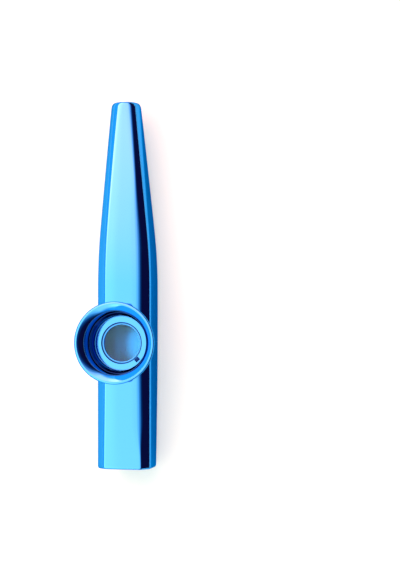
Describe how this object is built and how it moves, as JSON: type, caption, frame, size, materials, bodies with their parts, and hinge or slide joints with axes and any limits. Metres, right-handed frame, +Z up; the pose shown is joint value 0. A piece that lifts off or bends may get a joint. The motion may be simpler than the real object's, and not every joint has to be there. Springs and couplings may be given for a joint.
{
  "type": "kazoo",
  "caption": "Tapered metal kazoo, hummed into at its wide end, with a flared screw cap turret on top that clamps a vibrating membrane.",
  "frame": {"origin": "on the floor plane under the middle of the part, where the flat underside rests", "axes": "+Z up along the turret's axis, +Y along the tube towards the narrow end, +X across"},
  "size_m": [0.0264, 0.12, 0.027],
  "materials": {
    "body_metal": "mirror-bright blue plating",
    "turret_metal": "mirror-bright blue plating",
    "film": "thin translucent film",
    "paper": "white card"
  },
  "bodies": {
    "kazoo": {"body_shell": "body_metal", "turret_collar": "turret_metal", "membrane_film": "film", "membrane_paper_ring": "paper"},
    "ring": {"clamp_ring": "turret_metal"},
    "cap": {"flared_cap": "turret_metal"}
  },
  "joints": [
    {"name": "cap_turn", "type": "hinge", "parent": "kazoo", "child": "ring", "pos_m": [0, -0.0188, 0.0172], "axis": [0, 0, 1], "range_deg": [0, 1080]},
    {"name": "cap_lift", "type": "slide", "parent": "ring", "child": "cap", "axis": [0, 0, 1], "range_m": [0, 0.0027]}
  ],
  "couplings": [
    {"joint": "cap_lift", "follows": "cap_turn", "m_per_rad": 0.0001432}
  ]
}
